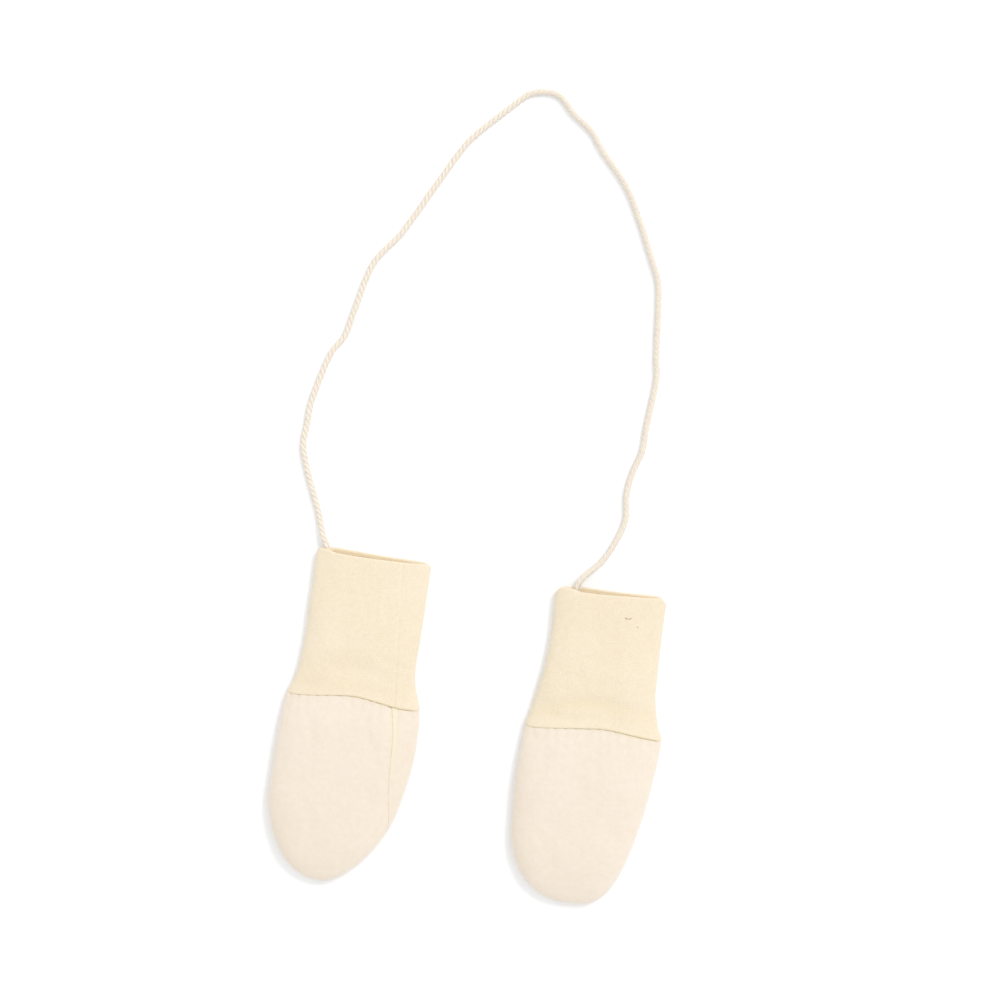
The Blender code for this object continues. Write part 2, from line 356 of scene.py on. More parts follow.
def cordMaterial(groups):
    look = cordLook
    material, tree, shader, make, pile = startMaterial("cord", look, groups)
    # painted shade: darker on each strand's inner side, where the strands press together, with some
    # random tone
    hollow = reckon(make, (-100, 200), "MULTIPLY_ADD", pile["Tone"], look["toneInHollows"],
                    fromPoints(make, (-350, 200), "strandShade"), clamp=True)
    tint = mixColour(make, (-50, 400), fromPoints(make, (-350, 400), "strandTint"),
                     look["pink"], look["yellow"])
    tintedAndShaded = mixColour(make, (150, 200), hollow, tint, look["deep"])
    # fine plies that run aslant on each strand, on the strand's own map (turns, millimetres)
    lay = make("ShaderNodeUVMap", (-1100, -500), uv_map="strand").outputs["UV"]
    split = make("ShaderNodeSeparateXYZ", (-900, -500), {"Vector": lay}).outputs
    around = reckon(make, (-700, -450), "MULTIPLY", split["X"], look["pliesAround"])
    slant = reckon(make, (-500, -450), "MULTIPLY_ADD", split["Y"], look["pliesAlong"], around)
    plies = reckon(make, (-300, -450), "SINE", slant)
    twisted = make("ShaderNodeBump", (200, -450), {
        "Strength": look["plyBump"], "Distance": look["plyHeight"], "Height": plies})
    finishMaterial(tree, shader, make, pile, look, tintedAndShaded, twisted.outputs["Normal"])
    return material


threadLook = {
    "dark": (0.330, 0.250, 0.150),
    "pale": (0.560, 0.425, 0.255),
    "fibres": 9000.0,
    "clumps": 900.0,
    "patches": 34.0,
    "napHeight": 0.00002,
    "roughness": 0.7,
    "sheen": 0.2,
}


def threadMaterial(groups):
    look = threadLook
    material, tree, shader, make, pile = startMaterial("thread", look, groups)
    finishMaterial(tree, shader, make, pile, look,
                   mixColour(make, (100, 200), pile["Tone"], look["dark"], look["pale"]))
    return material


# the cut of the two mittens, in millimetres: along from the wrist, across to each side
cloth = {
    "fleeceWall": 2.5,
    "ribWall": 1.6,
    "seamGap": 0.04,
    "edgeRise": 3.25,
    "edgeRound": 3.4,
    "mostReach": 0.45,          # of a narrow section's width
    "flatness": 3.0,
    "fullness": 2.4,
    "tipHalf": 1.5,
    "tipDome": 32.0,
    "domeFall": (2.2, 2.0),     # how each curve falls away: its power and its root
    "toeFall": (2.0, 2.0),
    "sideSeamBow": (3.0, 1.1),
    "sideSeamEnd": 124.0,
    "innerSeam": 12.5,          # a wall this thick would bring the inner seam to the side
    "bowFade": 1 / 3,           # the hand's rows follow the cuff's seam over this share
    "steps": 180,
    "edgeSteps": 36,
    "leastRoll": 0.3,           # of an edge whose seam hardly shows
    "offTable": 0.03,
    "sharpFrom": 75.0,          # degrees
    "flatBelow": 0.4,           # creases and swells start above this height
    "flatFade": 1.6,
}
leftMitten = {
    "wrist": (-42.5, 76.3), "turn": -8.95, "length": 148.1, "tipShift": -1.9,
    # along, left, right, height
    "outline": (
        (-2, 25.4, 26.6, 7.6), (20, 24.8, 27.0, 8.3), (34, 24.5, 26.9, 8.9),
        (48, 24.9, 27.3, 8.9), (57, 26.0, 28.8, 8.4), (66, 28.5, 31.5, 8.6),
        (78, 29.8, 32.8, 10.9), (95, 30.2, 31.9, 12.0), (110, 30.0, 29.6, 12.2),
    ),
    "tipLeft": (110, 1.8, 1.9), "tipRight": (109, 1.42, 1.62),
    "cuffSeam": 66.2, "sideSeam": 14.2,
    # across as a part of the half width, how far along from the wrist the cuff's seam runs
    "seam": ((-1, 65.4), (-0.97, 66.3), (-0.9, 66.6), (-0.58, 65.7), (-0.28, 64.4), (0.08, 63.5),
             (0.37, 64.5), (0.7, 65.9), (0.92, 65.9), (0.975, 65.6), (1, 64.8)),
    # how strongly its line shows: how far its edges roll in, and how much painted shade it takes
    "seamShow": ((-1, 0.1), (-0.6, 0.35), (-0.2, 0.5), (0.1, 0.9), (0.8, 1.0), (1, 0.4)),
    # how far the front edge is set back
    "mouth": ((-1, 0.0), (-0.82, 0.3), (-0.68, 2.1), (-0.3, 2.2), (0.1, 1.9), (0.6, 1.4),
              (0.9, 0.6), (1, 0.0)),
    "cornerRound": 1.2,
    "seed": 3.7,
}
rightMitten = {
    "wrist": (65.1, 59.7), "turn": -6.42, "length": 140.9, "tipShift": -5.0,
    "outline": (
        (-2, 25.0, 24.7, 7.6), (20, 25.1, 24.8, 8.3), (36, 26.3, 24.5, 9.0),
        (47, 28.6, 25.3, 8.8), (56, 30.6, 27.2, 8.4), (64, 32.2, 29.6, 8.6),
        (75, 33.3, 30.0, 10.8), (90, 34.1, 30.0, 12.0), (105, 33.6, 30.0, 12.2),
    ),
    "tipLeft": (105, 2.3, 2.0), "tipRight": (66, 1.18, 3.2),
    "cuffSeam": 64.2, "sideSeam": 0.0,
    "seam": ((-1, 62.6), (-0.97, 63.5), (-0.9, 63.8), (-0.58, 63.0), (-0.23, 62.0), (0.06, 61.3),
             (0.28, 61.7), (0.59, 62.9), (0.92, 63.9), (0.975, 63.8), (1, 63.0)),
    "seamShow": ((-1, 0.5), (-0.6, 0.5), (-0.1, 0.6), (0.3, 0.9), (0.8, 1.0), (1, 0.4)),
    "mouth": ((-1, 0.0), (-0.76, 0.2), (-0.58, 2.0), (-0.3, 2.0), (0.2, 1.5), (0.7, 1.0),
              (0.92, 0.5), (1, 0.0)),
    "cornerRound": 3.0,
    "seed": 11.3,
}


def smoothTable(rows, column, at):
    places = [row[0] for row in rows]
    values = [row[column] for row in rows]
    at = min(max(at, places[0]), places[-1])
    i = next(k for k in range(len(places) - 1) if at <= places[k + 1])

    def slope(k):
        below, above = max(k - 1, 0), min(k + 1, len(places) - 1)
        return (values[above] - values[below]) / (places[above] - places[below])

    step = places[i + 1] - places[i]
    t = (at - places[i]) / step
    rise = t * t * (3 - 2 * t)
    start, end = slope(i) * step, slope(i + 1) * step
    return (values[i] * (1 - rise) + values[i + 1] * rise
            + start * t * (1 - t) ** 2 - end * t * t * (1 - t))


def tipFade(at, start, end, power, root):
    part = min(max((at - start) / (end - start), 0.0), 1.0)
    return (1 - part ** power) ** (1 / root)


def measures(mitten, at, inset):
    end = mitten["length"] - inset
    sides, fades = [], []
    for column, key, sign in ((1, "tipLeft", -1), (2, "tipRight", 1)):
        start, power, root = mitten[key]
        width = smoothTable(mitten["outline"], column, min(at, start)) - inset
        least = sign * mitten["tipShift"] + cloth["tipHalf"]
        fades.append(tipFade(at, start, end, power, root))
        sides.append(least + (width - least) * fades[-1])
    centre = mitten["tipShift"] * (1 - sum(fades) / 2)
    middle, half = cloth["edgeRise"], cloth["seamGap"] / 2
    top = smoothTable(mitten["outline"], 3, at) - inset
    dome = tipFade(at, end - cloth["tipDome"], end, *cloth["domeFall"])
    high = middle + half + (top - middle - half) * dome
    toe = tipFade(at, end - cloth["edgeRound"] + inset, end, *cloth["toeFall"])
    low = middle - half - (middle - half - inset) * toe
    return sides[0], sides[1], centre, low, high


# a section's top line and its underside line, (across, up)
def section(mitten, at, inset, gap):
    left, right, centre, low, high = measures(mitten, at, inset)
    middle = cloth["edgeRise"]
    reach = min(cloth["edgeRound"] - inset, cloth["mostReach"] * (left + right))
    turn = np.linspace(math.pi, 0, cloth["steps"] + 1)
    side = np.where(turn < math.pi / 2, right - centre, left + centre)
    out = np.sign(np.cos(turn)) * np.abs(np.cos(turn)) ** (2 / cloth["flatness"])
    up = np.abs(np.sin(turn)) ** (2 / cloth["fullness"])
    up[0] = up[-1] = 0.0
    top = np.stack((centre + side * out, middle + gap / 2 + (high - middle - gap / 2) * up), axis=1)
    bend = np.linspace(0, math.pi / 2, cloth["edgeSteps"])
    drop = middle - gap / 2 - (middle - gap / 2 - low) * np.sin(bend)
    reachIn = reach * (1 - np.cos(bend))
    under = np.vstack((
        np.stack((right - reachIn, drop), axis=1),
        np.stack((-(left - reachIn), drop), axis=1)[::-1],
    ))
    return top, under


def runOf(line):
    return np.concatenate(([0.0], np.cumsum(np.hypot(*np.diff(line, axis=0).T))))


def pointsAt(line, run, wanted):
    return np.stack((np.interp(wanted, run, line[:, 0]), np.interp(wanted, run, line[:, 1])), axis=1)


def easedSteps(count, hold):
    even = np.linspace(0, 1, count + 1)
    return even - hold * np.sin(2 * math.pi * even) / (2 * math.pi)


# across as a part of the half width at the cuff's seam, from -1 at the left to 1
def seamShare(mitten, across):
    left = smoothTable(mitten["outline"], 1, mitten["cuffSeam"])
    right = smoothTable(mitten["outline"], 2, mitten["cuffSeam"])
    return np.clip(across / np.where(across < 0, left, right), -1, 1)


# a table's smooth curve at each of an array of places
def smoothAt(rows, at, steps=200):
    fine = np.linspace(rows[0][0], rows[-1][0], steps + 1)
    return np.interp(at, fine, [smoothTable(rows, 1, place) for place in fine])


def bowedSeam(mitten, across):
    return smoothAt(mitten["seam"], seamShare(mitten, across))


# local (across, along, up) in millimetres to the frame, in metres
def placed(mitten, grid):
    turn = math.radians(mitten["turn"])
    x, y = grid[..., 0], -grid[..., 1]
    wx, wy = mitten["wrist"]
    return np.stack((
        (wx + x * math.cos(turn) - y * math.sin(turn)) * mm,
        (wy + x * math.sin(turn) + y * math.cos(turn)) * mm,
        grid[..., 2] * mm,
    ), axis=-1)


def unit(vectors):
    return vectors / np.maximum(np.linalg.norm(vectors, axis=-1, keepdims=True), 1e-12)


# outward normals of a grid whose rows run along and columns run over the top, left to right
def gridNormals(grid, ring):
    if ring:
        across = np.roll(grid, -1, axis=1) - np.roll(grid, 1, axis=1)
    else:
        across = np.gradient(grid, axis=1)
    return unit(np.cross(across, np.gradient(grid, axis=0)))


# smooth noise from -1 to 1 at each point of a grid, with swells about scale mm across
def softNoise(grid, scale, seed):
    flat = grid.reshape(-1, 3) / scale + seed
    return np.array([noise.noise(Vector(p)) for p in flat]).reshape(grid.shape[:-1])


crease = {"steps": 40, "endPower": 0.6, "endShare": 0.02}


# soft troughs along short curves: rows of start, bend and end (along, across), depth and width
def creaseDepth(grid, creases):
    ends = crease["endShare"]
    depth = np.zeros(grid.shape[:-1])
    for start, bend, end, deep, wide in creases:
        t = np.linspace(0, 1, crease["steps"] + 1)[:, None]
        start, bend, end = (np.array(point) for point in (start, bend, end))
        line = start * (1 - t) ** 2 + 2 * bend * t * (1 - t) + end * t ** 2
        gapAlong = grid[..., 1][..., None] - line[:, 0]
        gapAcross = grid[..., 0][..., None] - line[:, 1]
        away = np.hypot(gapAlong, gapAcross)
        nearest = away.argmin(axis=-1)
        fade = np.sin(math.pi * np.clip(t[nearest, 0], ends, 1 - ends)) ** crease["endPower"]
        depth += deep * fade * np.exp(-(away.min(axis=-1) / wide) ** 2)
    return depth


# from least where the share is 0 to 1 where it is 1
def upFrom(least, share):
    return least + (1 - least) * share


def rolledEdge(away, radius):
    inside = np.clip(radius - away, 0, radius)
    return radius - np.sqrt(np.maximum(radius ** 2 - inside ** 2, 0))


# 0 on the face that lies flat on the table, 1 above it
def offFloor(grid):
    return np.clip((grid[..., 2] - cloth["flatBelow"]) / cloth["flatFade"], 0, 1)


# a slow swell with a smaller one on it, and listed creases, above the table and under it
def clothForm(mitten, shape, grid, calm, underCalm):
    (large, first), (small, second) = shape["swells"]
    swell = softNoise(grid, large, mitten["seed"] + first)
    slower = grid * (1.0, shape["smallSlower"], 1.0)
    swell += softNoise(slower, small, mitten["seed"] + second) * shape["smallSwell"]
    lifted = offFloor(grid)
    above = swell * shape["swell"] * calm - creaseDepth(grid, shape["creases"])
    return above * lifted - creaseDepth(grid, shape["underCreases"]) * underCalm * (1 - lifted)


def pointValues(mesh, name, values):
    layer = mesh.attributes.new(name, "FLOAT", "POINT")
    layer.data.foreach_set("value", np.clip(values, 0, 1).astype(np.float32))


# each corner's spot on a map, from one for each point
def cornerSpots(mesh, spots):
    corner = np.empty(len(mesh.loops), np.int32)
    mesh.loops.foreach_get("vertex_index", corner)
    return np.asarray(spots)[corner]


def layMap(mesh, name, spots):
    mesh.uv_layers.new(name=name).data.foreach_set("uv", spots.astype(np.float32).ravel())


def finishedPiece(name, mesh, material):
    piece = bpy.data.objects.new(name, mesh)
    bpy.context.collection.objects.link(piece)
    mesh.materials.append(material)
    return piece


# the last rib meets the first, so a face across the two takes the next number up
def layKnit(mesh, knit):
    ribs = round(knit[:, 0].max())
    spots = cornerSpots(mesh, knit).reshape(-1, 4, 2)
    wraps = np.ptp(spots[..., 0], axis=1) > ribs / 2
    spots[wraps, :, 0] += np.where(spots[wraps, :, 0] < ribs / 2, ribs, 0)
    layMap(mesh, "knit", spots)


# a closed sheet between two grids, joined round its edges; a ring's rows close on themselves,
# and a folded sheet's two grids share their first row
def clothMesh(name, material, outer, inner, attributes, ring=False, folded=False, knit=None):
    rows, columns = outer.shape[:2]
    shared = 1 if folded else 0
    index = np.arange(rows * columns).reshape(rows, columns)
    inside = index + (rows - shared) * columns
    if folded:
        inside[0] = index[0]
    if ring:
        index, inside = (np.concatenate((each, each[:, :1]), axis=1) for each in (index, inside))

    def quads(grid):
        corners = (grid[:-1, :-1], grid[1:, :-1], grid[1:, 1:], grid[:-1, 1:])
        return np.stack(corners, axis=-1).reshape(-1, 4)

    def rim(one, other):
        return np.stack((other[:-1], other[1:], one[1:], one[:-1]), axis=-1)

    faces = [quads(index), quads(inside)[:, ::-1], rim(index[-1], inside[-1])]
    if not folded:
        faces.append(rim(index[0][::-1], inside[0][::-1]))
    if not ring:
        faces += [rim(index[:, 0], inside[:, 0]), rim(index[:, -1][::-1], inside[:, -1][::-1])]

    def both(first, second):
        return np.concatenate([each.reshape(-1, *each.shape[2:]) for each in (first, second[shared:])])

    mesh = bpy.data.meshes.new(name)
    mesh.from_pydata(both(outer, inner).tolist(), [], np.concatenate(faces).tolist())
    mesh.update()
    for key, (outside, within) in attributes.items():
        pointValues(mesh, key, both(outside, within))
    if knit is not None:
        layKnit(mesh, both(knit, knit))
    mesh.shade_smooth()
    mesh.set_sharp_from_angle(angle=math.radians(cloth["sharpFrom"]))
    print(name, "sewn,", len(mesh.polygons), "faces")
    return finishedPiece(name, mesh, material)


panelShape = {
    "rows": 120,
    "columns": 124,
    "edgeRoll": 0.8,            # how round each edge is, mm
    "tipRoll": 0.8,
    "topSeamRoll": 0.12,
    "cuffRoll": 0.16,
    "hold": 0.72,               # how close the rows and columns stand near the edges
    "narrow": (8.0, 0.55),      # narrower rows roll in less, down to this share
    "onTop": {"from": 0.1, "over": 4.5, "power": 0.7},      # height at which a seam lies on top
    "topTrough": {"depth": 0.45, "width": 2.2, "fade": 60.0},
    "stitchPull": {"pitch": 3.4, "wander": 1.3, "wave": 7.0, "depth": 0.12, "reach": 2.6},
    "gathers": {
        "pitch": 4.6, "wander": 3.2, "wanderSize": 9.0, "slower": 0.35, "depth": 0.50, "reach": 7.0,
        "sharp": 1.6, "least": 0.725, "vary": 0.275, "varySize": 6.0,
    },
    "swell": 0.55,
    "swells": ((17.0, 1.0), (6.5, 2.0)),    # size and what is added to the seed
    "smallSwell": 0.3,
    "smallSlower": 1.0,
    "calmSewn": 5.0,            # mm in from the sewn edges where the swell is full
    "calmCuff": 4.0,
    "innerFollows": 0.8,
    # painted shade at the seams: how strong on the seam on top, and how wide there and at the cuff, mm
    "seamShadeStrength": 0.30,
    "seamLine": 0.7,
    "cuffLine": 0.9,
    "besideBand": {"middle": 1.0, "width": 1.25, "start": 1.3, "fade": 30.0, "most": 0.85},
    "creases": (),
    "underCreases": (),
}
leftFrontPiece = {
    **panelShape,
    "creases": (
        ((72, -20), (82, -12), (93, -14), 0.45, 2.6),
        ((70, 8), (80, 10), (92, 16), 0.40, 2.2),
        ((96, 17), (106, 13), (112, 16), 0.35, 2.4),
        ((112, -14), (120, -6), (131, -8), 0.40, 3.0),
    ),
}
leftBackPiece = {
    **panelShape,
    "columns": 150,
    "creases": (((74, 27), (88, 29), (100, 27), 0.30, 2.0),),
    "underCreases": (
        ((73, -17), (84, -21), (99, -15), 0.34, 2.8),
        ((76, 12), (86, 6), (94, 9), 0.26, 2.2),
        ((104, -4), (112, 4), (126, 2), 0.30, 3.1),
    ),
}
rightFrontPiece = {
    **panelShape,
    "creases": (
        ((70, -22), (79, -20), (92, -26), 0.45, 2.6),
        ((68, 2), (78, 0), (88, 4), 0.35, 2.4),
        ((84, 14), (98, 9), (110, 10), 0.45, 3.0),
        ((112, -20), (121, -12), (127, -13), 0.35, 2.6),
    ),
}
rightBackPiece = {
    **panelShape,
    "underCreases": (
        ((70, -15), (83, -10), (90, -18), 0.30, 2.4),
        ((71, 14), (80, 18), (97, 12), 0.36, 2.9),
        ((98, -12), (108, -4), (115, -9), 0.28, 2.7),
        ((106, 8), (114, 4), (122, 6), 0.22, 2.0),
    ),
}


# points of a panel's plain face, from the cuff's seam to the tip
def handGrid(mitten, which, inset, shape):
    start, end = mitten["cuffSeam"], mitten["length"] - inset
    gap = cloth["seamGap"]
    grid = np.zeros((shape["rows"] + 1, shape["columns"] + 1, 3))
    stations = easedSteps(shape["columns"], shape["hold"])
    for i, part in enumerate(easedSteps(shape["rows"], shape["hold"])):
        at = start + (end - start) * part
        top, under = section(mitten, at, inset, gap)
        loop = np.vstack((top, under))
        run = runOf(loop)
        onTop = tipFade(at, start, cloth["sideSeamEnd"] - inset, *cloth["sideSeamBow"])
        onTop *= mitten["sideSeam"] * (1 - inset / cloth["innerSeam"])
        middle = run[len(top) - 1] + gap / 2 - onTop
        if which == "front":
            wanted = stations * (middle - gap / 2)
        else:
            wanted = middle + gap / 2 + stations * (run[-1] - middle - gap / 2)
        points = pointsAt(loop, run, wanted)
        bow = bowedSeam(mitten, points[:, 0]) - start + gap
        grid[i, :, 0] = points[:, 0]
        grid[i, :, 1] = at + bow * max(1 - part / cloth["bowFade"], 0)
        grid[i, :, 2] = points[:, 1]
    return grid


# distance of each point from the panel's left, right, cuff and tip edges, over the cloth
def edgeRuns(grid):
    acrossStep = np.linalg.norm(np.diff(grid, axis=1), axis=-1)
    alongStep = np.linalg.norm(np.diff(grid, axis=0), axis=-1)
    fromLeft = np.concatenate((np.zeros((len(grid), 1)), np.cumsum(acrossStep, axis=1)), axis=1)
    fromCuff = np.concatenate((np.zeros((1, grid.shape[1])), np.cumsum(alongStep, axis=0)), axis=0)
    return fromLeft, fromLeft[:, -1:] - fromLeft, fromCuff, fromCuff[-1:] - fromCuff


# stitches draw the cloth in along the side seam, unevenly
def stitchPull(mitten, shape, cuff, sewn):
    stitch = shape["stitchPull"]
    run = cuff + stitch["wander"] * np.sin(cuff / stitch["wave"] + mitten["seed"])
    pull = 0.5 + 0.5 * np.cos(2 * math.pi * run / stitch["pitch"])
    return pull * np.exp(-(sewn / stitch["reach"]) ** 2) * stitch["depth"]


# the hand is eased on to the narrower cuff in small gathers
def gathersOf(mitten, shape, outer, cuff):
    ease, seed = shape["gathers"], mitten["seed"]
    wander = ease["wander"] * softNoise(outer * (1.0, ease["slower"], 0.0), ease["wanderSize"], seed)
    tucks = 0.5 + 0.5 * np.cos(2 * math.pi * outer[..., 0] / ease["pitch"] + wander)
    uneven = ease["vary"] * softNoise(outer * (1.0, 0.0, 0.0), ease["varySize"], seed + 5.0)
    uneven += ease["least"]
    return tucks ** ease["sharp"] * ease["depth"] * uneven * np.exp(-cuff / (ease["reach"] * uneven))


def handPanel(name, mitten, which, shape, material):
    outer = handGrid(mitten, which, 0.0, shape)
    inner = handGrid(mitten, which, cloth["fleeceWall"], shape)
    normal = gridNormals(outer, ring=False)
    left, right, cuff, tip = edgeRuns(outer)
    sewn = np.minimum(np.minimum(left, right), tip)
    rise, above = cloth["edgeRise"] + shape["onTop"]["from"], shape["onTop"]
    high = [np.clip((outer[:, k, 2:3] - rise) / above["over"], 0, 1) ** above["power"] for k in (0, -1)]

    # every edge rolls in, least where a seam lies on top
    narrow = np.clip(left[:, -1:] / shape["narrow"][0], shape["narrow"][1], 1.0)
    radii = [narrow * (shape["edgeRoll"] * (1 - up) + shape["topSeamRoll"] * up) for up in high]
    roll = np.maximum(rolledEdge(left, radii[0]), rolledEdge(right, radii[1]))
    roll = np.maximum(roll, rolledEdge(tip, shape["tipRoll"] * narrow))
    show = smoothAt(mitten["seamShow"], seamShare(mitten, outer[..., 0]))
    roll = np.maximum(roll, rolledEdge(cuff, shape["cuffRoll"] * upFrom(cloth["leastRoll"], show)))

    # a seam that lies on top sinks into a soft trough
    sink = shape["topTrough"]
    fadeDown = np.exp(-cuff / sink["fade"])
    besides = [up * np.exp(-(away / sink["width"]) ** 2) for up, away in zip(high, (left, right))]
    trough = sink["depth"] * fadeDown * sum(besides)

    calm = np.clip(sewn / shape["calmSewn"], 0, 1) * np.clip(cuff / shape["calmCuff"], 0, 1)
    form = clothForm(mitten, shape, outer, calm, calm)
    drawn = stitchPull(mitten, shape, cuff, sewn) + gathersOf(mitten, shape, outer, cuff)
    outer = outer + normal * (form - roll - trough - drawn * offFloor(outer))[..., None]
    outer[..., 2] = np.maximum(outer[..., 2], cloth["offTable"])
    inner = inner + gridNormals(inner, ring=False) * (form * shape["innerFollows"])[..., None]

    # where the materials paint shade along the seams, and the paler band beside the one on top
    edgeLine = np.maximum(*(up * np.clip(1 - away / shape["seamLine"], 0, 1)
                            for up, away in zip(high, (left, right))))
    grooveShade = shape["seamShadeStrength"] * edgeLine * fadeDown
    grooveShade += show * np.clip(1 - cuff / shape["cuffLine"], 0, 1)
    band = shape["besideBand"]
    beside = np.exp(-((left - band["middle"]) / band["width"]) ** 2)
    beside = beside * high[0] * band["most"] * np.clip(band["start"] - cuff / band["fade"], 0, 1)
    hidden = np.zeros_like(grooveShade)
    return clothMesh(name, material, placed(mitten, outer), placed(mitten, inner),
                     {"paintedShade": (grooveShade, hidden), "besideSeam": (beside, hidden)})


cuffShape = {
    "ribs": 104,
    "perRib": 4,
    "rows": 84,
    "foldRows": 8,              # round the fold at the wrist, an even number
    "hold": 0.45,
    "cuffRoll": 0.26,
    "ribDepth": 0.07,
    "ribSharp": 0.7,
    "ribUneven": {"least": 0.8, "vary": 0.2, "waves": (2.1, 0.37)},
    "frontBack": (0.6, 0.4),    # shares of the mouth's set-back that the front and the back take
    "frontOver": 1.2,
    "cornerMost": 0.98,
    "swell": 0.45,
    "swells": ((15.0, 0.0), (4.5, 4.0)),
    "smallSwell": 0.35,
    "smallSlower": 0.6,
    "calmSewn": 5.0,
    "innerFollows": 0.9,
    # painted shade: how wide at the seam with the hand, mm, and how strong in the rib's hollows
    "seamLine": 1.0,
    "ribHollowShade": 0.09,
    "foldInsideLight": 0.4,          # how much of the inside's colour, painted in as light, the fold takes
    "ownSeam": None,            # across, depth, width, slant, share left at the mouth, fade
    "creases": (),
    "shades": (),               # as creases, for colour only: painted shade along these lines
    "openRibs": (),             # along, across, width, gain
    "underCreases": (),
}
leftCuffPiece = {
    **cuffShape,
    "ownSeam": (20.3, 0.4, 0.55, 0.1, 0.35, 14.0),
    "creases": (
        ((54, -27), (46, 4), (57, 31), 0.55, 4.5),
        ((36, -14), (40, -4), (37, 8), 0.25, 2.6),
        ((44, 12), (49, 18), (47, 26), 0.30, 2.2),
    ),
    "shades": (
        ((59, -26), (57, -6), (60, 24), 0.30, 3.4),
        ((50, -14), (47, -2), (50, 12), 0.16, 3.0),
    ),
    "openRibs": ((60, -17, 5, 1.2), (58, 20, 6, 1.4)),
    "underCreases": (
        ((56, -24), (47, -8), (52, 6), 0.32, 3.6),
        ((48, 4), (44, 16), (50, 24), 0.24, 2.8),
        ((24, -15), (28, -4), (25, 9), 0.20, 2.5),
    ),
}
rightCuffPiece = {
    **cuffShape,
    "creases": (
        ((57, -31), (43, -6), (55, 29), 0.70, 3.2),
        ((30, -10), (34, 0), (31, 12), 0.22, 2.6),
        ((57, -24), (59, -14), (57, -2), 0.30, 2.0),
    ),
    "shades": (
        ((58, -31), (44, -6), (57, 29), 0.50, 2.6),
        ((56, -25), (58, -20), (55, -16), 0.30, 1.8),
    ),
    "openRibs": ((56, -21, 4.5, 2.6), (52, 8, 5, 0.8)),
    "underCreases": (
        ((54, -25), (45, -12), (51, 2), 0.34, 3.2),
        ((50, 8), (46, 15), (53, 25), 0.28, 2.9),
        ((33, -6), (37, 5), (34, 16), 0.18, 2.3),
    ),
}


# points of a cuff's plain tube, from the mouth to its seam with the hand
def cuffGrid(mitten, inset, shape):
    columns, corner = shape["ribs"] * shape["perRib"], mitten["cornerRound"]
    grid = np.zeros((shape["rows"] + 1, columns, 3))
    for i, part in enumerate(easedSteps(shape["rows"], shape["hold"])):
        top, under = section(mitten, mitten["cuffSeam"] * part, inset, 0.0)
        loop = np.vstack((top, under))
        run = runOf(loop)
        points = pointsAt(loop, run, np.arange(columns) / columns * run[-1])
        across, up = points[:, 0], points[:, 1]
        edge = np.where(across > 0, top[-1, 0], -top[0, 0])
        setBack = np.interp(np.clip(across / edge, -1, 1), *np.array(mitten["mouth"]).T)
        isFront = np.clip((up - cloth["edgeRise"]) / shape["frontOver"], -1, 1)
        setBack = setBack * isFront * np.where(isFront > 0, *shape["frontBack"])
        around = np.clip((np.abs(across) - (edge - corner)) / corner, 0, shape["cornerMost"])
        mouth = cloth["ribWall"] / 2 + corner * (1 - np.sqrt(1 - around ** 2)) + setBack
        seam = bowedSeam(mitten, across) - cloth["seamGap"]
        grid[i, :, 0] = across
        grid[i, :, 1] = mouth * (1 - part) + seam * part
        grid[i, :, 2] = up
    return grid


# the rib: rounded crests with narrow hollows, a little uneven, wider where the knit is stretched
def cuffRibs(mitten, shape, outer):
    rib = np.arange(outer.shape[1]) / shape["perRib"]
    crest = np.abs(np.cos(math.pi * rib)) ** shape["ribSharp"]
    vary = shape["ribUneven"]
    short, long = vary["waves"]
    uneven = vary["least"] + vary["vary"] * np.sin(rib * short + mitten["seed"]) * np.sin(rib * long)
    stretch = np.ones(outer.shape[:2])
    for along, across, wide, gain in shape["openRibs"]:
        away = np.hypot(outer[..., 1] - along, outer[..., 0] - across)
        stretch += gain * np.exp(-(away / wide) ** 2)
    return rib, (crest - 1.0) * uneven * shape["ribDepth"] * stretch, (1 - crest) * stretch


# the line sewn along a cuff where its rib is joined into a tube
def ownSeam(mitten, shape, outer, toSeam):
    if shape["ownSeam"] is None:
        return 0.0
    across, deep, wide, slant, least, fade = shape["ownSeam"]
    line = outer[..., 0] - across - slant * (outer[..., 1] - mitten["cuffSeam"])
    return deep * np.exp(-(line / wide) ** 2) * upFrom(least, np.exp(-toSeam / fade))


# half a turn at the wrist, from the outer layer to the inner one
def cuffFold(outerRow, innerRow, out, steps):
    middle, half = (outerRow + innerRow) / 2, (outerRow - innerRow) / 2
    out = unit(out) * np.linalg.norm(half, axis=-1, keepdims=True)
    return np.array([middle + half * math.cos(t) + out * math.sin(t)
                     for t in np.linspace(0, math.pi, steps + 1)])


